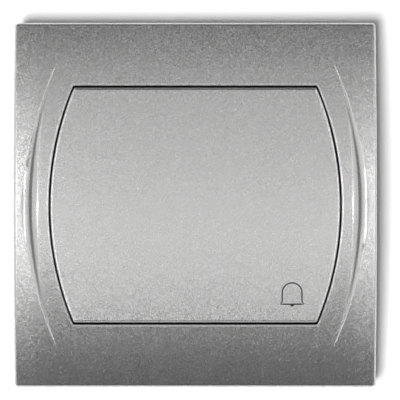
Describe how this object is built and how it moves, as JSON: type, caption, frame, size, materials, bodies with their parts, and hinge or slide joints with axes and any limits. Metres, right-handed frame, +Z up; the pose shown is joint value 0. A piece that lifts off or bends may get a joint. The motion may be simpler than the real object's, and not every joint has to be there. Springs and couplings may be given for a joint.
{
  "type": "push button light switch",
  "caption": "Square flush bell push with a barrel-shaped rocking key, crescent grooves in the cover frame, and its mechanism, yoke, claws and terminals.",
  "frame": {"origin": "midpoint of the two box screws, on the wall's surface", "axes": "+X to the right, +Z up, +Y into the wall; the key faces -Y"},
  "size_m": [0.082, 0.0324, 0.0826],
  "materials": {
    "silver_plastic": "silver metallic paint",
    "grey_plastic": "moulded",
    "spring_wire": "drawn wire",
    "white_plastic": "moulded",
    "zinc_steel": "zinc plated",
    "black_plastic": "moulded",
    "bronze_strip": "rolled",
    "silver_contact": "bright",
    "brass_strip": "rolled"
  },
  "bodies": {
    "mechanism": {"cover_frame": "silver_plastic", "mounting_yoke": "zinc_steel", "mechanism_cover": "white_plastic", "mechanism_base": "black_plastic", "cover_screws": "zinc_steel", "return_springs": "spring_wire", "lever_spring": "spring_wire", "lever_pin": "spring_wire", "fixed_contact": "silver_contact", "common_strip": "brass_strip", "contact_strip": "brass_strip"},
    "key": {"key_cap": "silver_plastic", "rocker_actuator": "grey_plastic"},
    "plunger": {"push_plunger": "white_plastic"},
    "lever": {"contact_lever": "bronze_strip", "moving_contact": "silver_contact"},
    "claw_screw_upper": {"claw_screw_upper": "zinc_steel"},
    "claw_nut_upper": {"claw_nut_upper": "zinc_steel"},
    "claw_upper": {"claw_upper": "zinc_steel"},
    "claw_screw_lower": {"claw_screw_lower": "zinc_steel"},
    "claw_nut_lower": {"claw_nut_lower": "zinc_steel"},
    "claw_lower": {"claw_lower": "zinc_steel"},
    "terminal_screw_left": {"terminal_screw_left": "zinc_steel"},
    "terminal_clamp_left": {"terminal_clamp_left": "brass_strip"},
    "terminal_screw_right": {"terminal_screw_right": "zinc_steel"},
    "terminal_clamp_right": {"terminal_clamp_right": "brass_strip"}
  },
  "joints": [
    {"name": "key_press", "type": "hinge", "parent": "mechanism", "child": "key", "pos_m": [0, -0.0046, 0], "axis": [1, 0, 0], "range_deg": [0, 4.5], "stiffness_Nm_per_rad": 0.35, "springref_deg": -6.88, "deforming": ["return_springs"]},
    {"name": "plunger_slide", "type": "slide", "parent": "mechanism", "child": "plunger", "axis": [0, 1, 0], "range_m": [0, 0.000951]},
    {"name": "lever_swing", "type": "hinge", "parent": "mechanism", "child": "lever", "pos_m": [0, 0.005, 0.012], "axis": [1, 0, 0], "range_deg": [0, 2.27], "deforming": ["lever_spring"]},
    {"name": "claw_screw_upper_turn", "type": "hinge", "parent": "mechanism", "child": "claw_screw_upper", "pos_m": [0, 0, 0.0234], "axis": [0, 1, 0], "range_deg": [0, 2351.7]},
    {"name": "claw_nut_upper_slide", "type": "slide", "parent": "mechanism", "child": "claw_nut_upper", "axis": [0, -1, 0], "range_m": [0, 0.00392]},
    {"name": "claw_upper_spread", "type": "slide", "parent": "mechanism", "child": "claw_upper", "axis": [0, -0.7071, 0.7071], "range_m": [0, 0.00551]},
    {"name": "claw_screw_lower_turn", "type": "hinge", "parent": "mechanism", "child": "claw_screw_lower", "pos_m": [0, 0, -0.0234], "axis": [0, 1, 0], "range_deg": [0, 2351.7]},
    {"name": "claw_nut_lower_slide", "type": "slide", "parent": "mechanism", "child": "claw_nut_lower", "axis": [0, -1, 0], "range_m": [0, 0.00392]},
    {"name": "claw_lower_spread", "type": "slide", "parent": "mechanism", "child": "claw_lower", "axis": [0, -0.7071, -0.7071], "range_m": [0, 0.00551]},
    {"name": "terminal_screw_left_turn", "type": "hinge", "parent": "mechanism", "child": "terminal_screw_left", "pos_m": [-0.013, 0, 0.008], "axis": [0, 1, 0], "range_deg": [0, 1688.4]},
    {"name": "terminal_clamp_left_slide", "type": "slide", "parent": "mechanism", "child": "terminal_clamp_left", "axis": [0, -1, 0], "range_m": [0, 0.0028]},
    {"name": "terminal_screw_right_turn", "type": "hinge", "parent": "mechanism", "child": "terminal_screw_right", "pos_m": [0.013, 0, 0.008], "axis": [0, 1, 0], "range_deg": [0, 1688.4]},
    {"name": "terminal_clamp_right_slide", "type": "slide", "parent": "mechanism", "child": "terminal_clamp_right", "axis": [0, -1, 0], "range_m": [0, 0.0028]}
  ],
  "couplings": [
    {"joint": "plunger_slide", "follows": "key_press", "m_per_rad": 0.011994},
    {"joint": "lever_swing", "follows": "key_press", "ratio": 0.49975},
    {"joint": "claw_nut_upper_slide", "follows": "claw_upper_spread", "ratio": 0.70711},
    {"joint": "claw_screw_upper_turn", "follows": "claw_upper_spread", "rad_per_m": 7404.8},
    {"joint": "claw_nut_lower_slide", "follows": "claw_lower_spread", "ratio": 0.70711},
    {"joint": "claw_screw_lower_turn", "follows": "claw_lower_spread", "rad_per_m": 7404.8},
    {"joint": "terminal_screw_left_turn", "follows": "terminal_clamp_left_slide", "rad_per_m": 10472},
    {"joint": "terminal_screw_right_turn", "follows": "terminal_clamp_right_slide", "rad_per_m": 10472}
  ]
}
